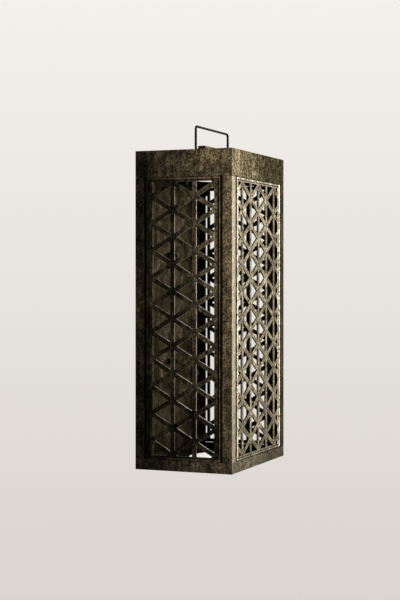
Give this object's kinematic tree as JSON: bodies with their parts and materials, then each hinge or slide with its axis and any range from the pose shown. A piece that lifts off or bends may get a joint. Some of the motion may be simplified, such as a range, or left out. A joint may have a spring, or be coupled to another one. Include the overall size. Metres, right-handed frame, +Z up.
{
  "type": "wall lamp",
  "caption": "Box-shaped wall lantern in dark bronze with triangle lattice sides, a hinged lattice door, LED pucks in ceiling and floor, a folding wire bail and a wall bracket.",
  "frame": {"origin": "on the wall plane, at the centre of the wall bracket's rear face, which is at half the height of the lamp's box", "axes": "+X to the right seen from the front, +Y into the wall, +Z up; the lattice door faces -Y"},
  "size_m": [0.195, 0.13, 0.4345],
  "materials": {
    "dark_bronze": "dark brown patina, satin, rubbed brighter at the edges",
    "lattice_bronze": "brown patina, satin, edges rubbed to a pale gold",
    "brushed_brass": "brushed, lightly aged",
    "zinc_steel": "zinc plated",
    "cast_aluminium": "fine cast, matt",
    "opal_acrylic": "opal white, lit softly from behind",
    "white_plastic": "moulded, matt",
    "black_rubber": "matt",
    "brown_sleeve": "satin"
  },
  "bodies": {
    "lamp_body": {"wall_bracket": "zinc_steel", "bracket_nut_lower": "dark_bronze", "bracket_nut_upper": "dark_bronze", "back_panel": "dark_bronze", "back_screw_lower_left": "zinc_steel", "back_screw_lower_right": "zinc_steel", "back_screw_upper_left": "zinc_steel", "back_screw_upper_right": "zinc_steel", "post_front_left": "dark_bronze", "post_front_right": "dark_bronze", "post_back_left": "dark_bronze", "post_back_right": "dark_bronze", "base_tray": "dark_bronze", "ceiling_plate": "dark_bronze", "top_cap": "dark_bronze", "tie_rod_front_left": "dark_bronze", "tie_rod_front_right": "dark_bronze", "tie_rod_back_left": "dark_bronze", "tie_rod_back_right": "dark_bronze", "tie_nut_front_left": "zinc_steel", "tie_nut_front_right": "zinc_steel", "tie_nut_back_left": "zinc_steel", "tie_nut_back_right": "zinc_steel", "left_frame": "dark_bronze", "left_lattice": "lattice_bronze", "right_frame": "dark_bronze", "right_lattice": "lattice_bronze", "panel_screw_left_lower_back": "zinc_steel", "panel_screw_left_lower_front": "zinc_steel", "panel_screw_left_upper_back": "zinc_steel", "panel_screw_left_upper_front": "zinc_steel", "panel_screw_right_lower_back": "zinc_steel", "panel_screw_right_lower_front": "zinc_steel", "panel_screw_right_upper_back": "zinc_steel", "panel_screw_right_upper_front": "zinc_steel", "door_magnet": "zinc_steel", "lower_led_dish": "cast_aluminium", "lower_led_board": "white_plastic", "lower_led_diffuser": "opal_acrylic", "upper_led_dish": "cast_aluminium", "upper_led_board": "white_plastic", "upper_led_diffuser": "opal_acrylic", "led_driver": "white_plastic", "driver_screw_front": "zinc_steel", "driver_screw_back": "zinc_steel", "terminal_block": "white_plastic", "cable_bush": "black_rubber", "lower_led_lead": "brown_sleeve", "lead_clip_lower": "brown_sleeve", "lead_clip_upper": "brown_sleeve", "handle_block": "brushed_brass", "block_screw_left": "zinc_steel", "block_screw_right": "zinc_steel"},
    "door": {"door_frame": "dark_bronze", "door_lattice": "lattice_bronze", "door_strike": "zinc_steel", "door_pin_lower": "zinc_steel", "door_pin_upper": "zinc_steel"},
    "bail": {"handle": "dark_bronze"}
  },
  "joints": [
    {"name": "door_hinge", "type": "hinge", "parent": "lamp_body", "child": "door", "pos_m": [0.0805, -0.12823, -0.01025], "axis": [0, 0, 1], "range_deg": [0, 100]},
    {"name": "handle_pivot", "type": "hinge", "parent": "lamp_body", "child": "bail", "pos_m": [0, -0.065, 0.203], "axis": [1, 0, 0], "range_deg": [-90, 90]}
  ]
}
